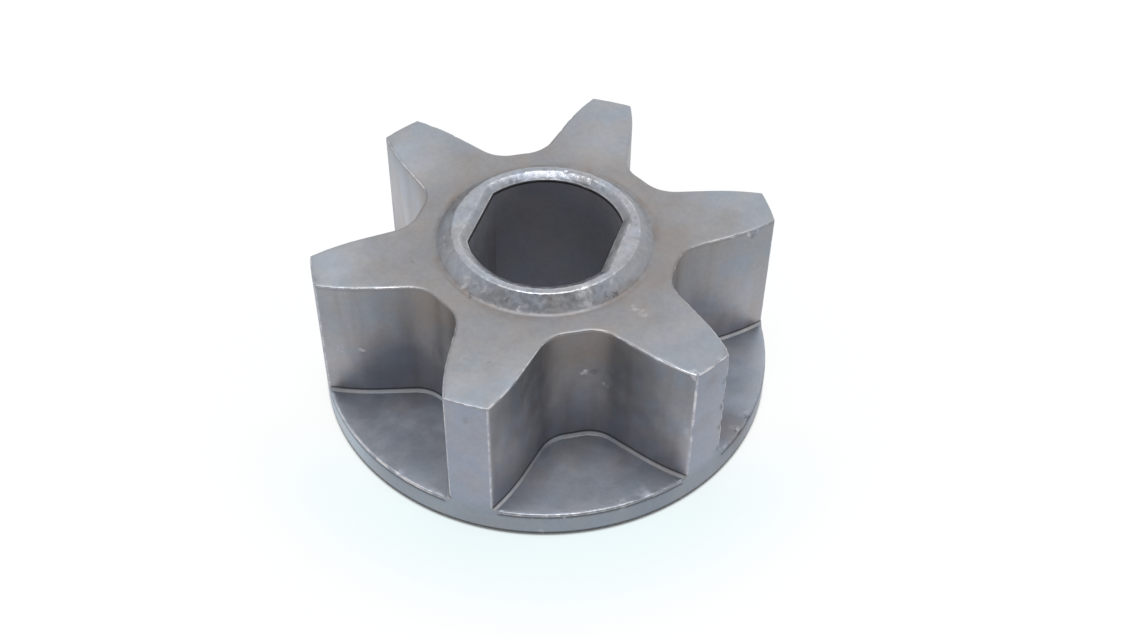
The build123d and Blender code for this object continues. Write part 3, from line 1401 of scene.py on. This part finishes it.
@dataclass(frozen=True)
class Glow:
    """A side of the surround that is brighter or dimmer than the rest of it."""

    azimuth: float
    elevation: float
    change: Ramp


@dataclass
class Studio:
    """Pale floor, soft lamps, white surround and the camera of the picture."""

    photo_width: float = 1141.0
    focal_pixels: float = 1533.5
    sensor_width: float = 36.0
    nearest_view: float = 5.0
    azimuth: float = 16.93
    elevation: float = 45.56
    roll: float = 0.863
    distance: float = 130.86
    aim: tuple[float, float] = (0.567, 4.975)
    lamp_aim: float = 7.0
    floor_side: float = 2000.0
    floor_tone: Colour = (0.92, 0.95, 0.96)
    floor_lift: Ramp = Ramp(17.9, 18.15, 0.0, 0.9)
    # Painted shadow: a faint cool tint on the floor in front of the sprocket
    painted_shadow_tone: Colour = (0.87, 0.975, 0.99)
    painted_shadow_front: Ramp = Ramp(4.0, 18.0)
    painted_shadow_reach: Ramp = Ramp(18.5, 29.0, 1.0, 0.0)
    glows: tuple[Glow, ...] = (
        Glow(17.0, 40.0, Ramp(0.2, 0.9, 0.0, -0.5)),
        Glow(190.0, 15.0, Ramp(0.75, 1.0, 0.0, 0.4)),
        Glow(232.0, 3.0, Ramp(0.8, 1.0, 0.0, -0.5)),
    )
    lamps: list[Lamp] = field(default_factory=lambda: [
        Lamp("top_softbox", azimuth=197.0, elevation=88.0, distance=0.45, side=0.20, power=0.8),
    ])

    def set_up(self) -> None:
        """Place the floor, the lamps, the surround and the camera."""
        self.lay_floor()
        self.light_surround()
        for lamp in self.lamps:
            lamp.place(Vector((0, 0, self.lamp_aim * MM)))
        self.place_camera()
        bpy.context.scene.view_settings.view_transform = "Standard"

    def lay_floor(self) -> None:
        """Lay the pale floor, which keeps the soft shadow."""
        half = self.floor_side * MM / 2
        mesh = bpy.data.meshes.new("floor")
        corners = [(-half, -half, 0), (half, -half, 0), (half, half, 0), (-half, half, 0)]
        mesh.from_pydata(corners, [], [(0, 1, 2, 3)])
        mesh.materials.append(self.floor_finish())
        floor = put("floor", mesh)

    def floor_finish(self) -> bpy.types.Material:
        """Make the floor's finish.

        Returns:
            The material: matt, with a white glow for the camera and for reflections, but not under the part,
                and a faint painted shadow in front of the part.
        """
        material = bpy.data.materials.new("pale_floor")
        bench = clean_bench(material)
        matt = bench.add("ShaderNodeBsdfDiffuse", {"Color": (*self.floor_tone, 1.0)})
        path = bench.add("ShaderNodeLightPath").outputs
        seen = bench.fold("MAXIMUM", [
            path["Is Camera Ray"], path["Is Glossy Ray"], path["Is Transmission Ray"]])
        place = bench.scale(bench.add("ShaderNodeTexCoord").outputs["Object"], 1 / MM)
        far = bench.vector("LENGTH", place).outputs[1]

        # Painted shadow: a faint cool tint on the floor in front of the sprocket, which only the camera sees
        ahead = bench.vector("DOT_PRODUCT", place, tuple(direction(self.azimuth, 0.0))).outputs[1]
        painted_shadow = bench.fold("MULTIPLY", [
            path["Is Camera Ray"], bench.remap(ahead, self.painted_shadow_front), bench.remap(far, self.painted_shadow_reach)])
        glow = bench.add("ShaderNodeEmission", {"Color": bench.blend(painted_shadow, (1.0, 1.0, 1.0), self.painted_shadow_tone)})
        lift = bench.times(seen, bench.remap(far, self.floor_lift))
        mixed = bench.add("ShaderNodeMixShader", {0: lift, 1: matt.outputs[0], 2: glow.outputs[0]})
        bench.add("ShaderNodeOutputMaterial", {"Surface": mixed.outputs[0]})
        return material

    def light_surround(self) -> None:
        """Set a white surround, dimmer on the camera's side, which the camera sees as white."""
        world = bpy.data.worlds.new("white_surround")
        bench = clean_bench(world)
        ray = bench.add("ShaderNodeTexCoord").outputs["Generated"]
        room = 1.0
        for glow in self.glows:
            towards = tuple(direction(glow.azimuth, glow.elevation))
            facing = bench.vector("DOT_PRODUCT", ray, towards).outputs[1]
            room = bench.math("ADD", room, bench.remap(facing, glow.change))
        in_view = bench.add("ShaderNodeLightPath").outputs["Is Camera Ray"]
        strength = bench.math("MAXIMUM", in_view, room)
        background = bench.add("ShaderNodeBackground", {"Color": (1.0, 1.0, 1.0, 1.0), "Strength": strength})
        bench.add("ShaderNodeOutputWorld", {"Surface": background.outputs[0]})
        bpy.context.scene.world = world

    def place_camera(self) -> None:
        """Place the camera at the picture's own angle."""
        data = bpy.data.cameras.new("camera")
        data.sensor_width = self.sensor_width
        data.lens = self.focal_pixels * self.sensor_width / self.photo_width
        data.clip_start = self.nearest_view * MM
        camera = put("camera", data)
        back = direction(self.azimuth, self.elevation)
        turn = math.radians(self.azimuth)
        right = Vector((math.cos(turn), math.sin(turn), 0))
        lean = math.radians(self.roll)
        across = math.cos(lean) * right + math.sin(lean) * back.cross(right)
        axes = Matrix((across, back.cross(across), back)).transposed().to_4x4()
        spot = Vector((*self.aim, 0)) * MM + back * self.distance * MM
        camera.matrix_world = Matrix.Translation(spot) @ axes
        bpy.context.scene.camera = camera


def main() -> None:
    """Build the sprocket, then the studio round it."""
    logging.basicConfig(level=logging.INFO, format="%(message)s")
    _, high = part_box(CAD_NODE)
    piece = Sprocket(SinteredSteel(), high.x / MM, high.z / MM).build()
    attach(piece, CAD_BODY)
    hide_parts(CAD_NODE)
    LOG.info("%s: %d faces", piece.name, len(piece.data.polygons))
    Studio().set_up()
    LOG.info("studio set up")


if __name__ == "__main__":
    main()
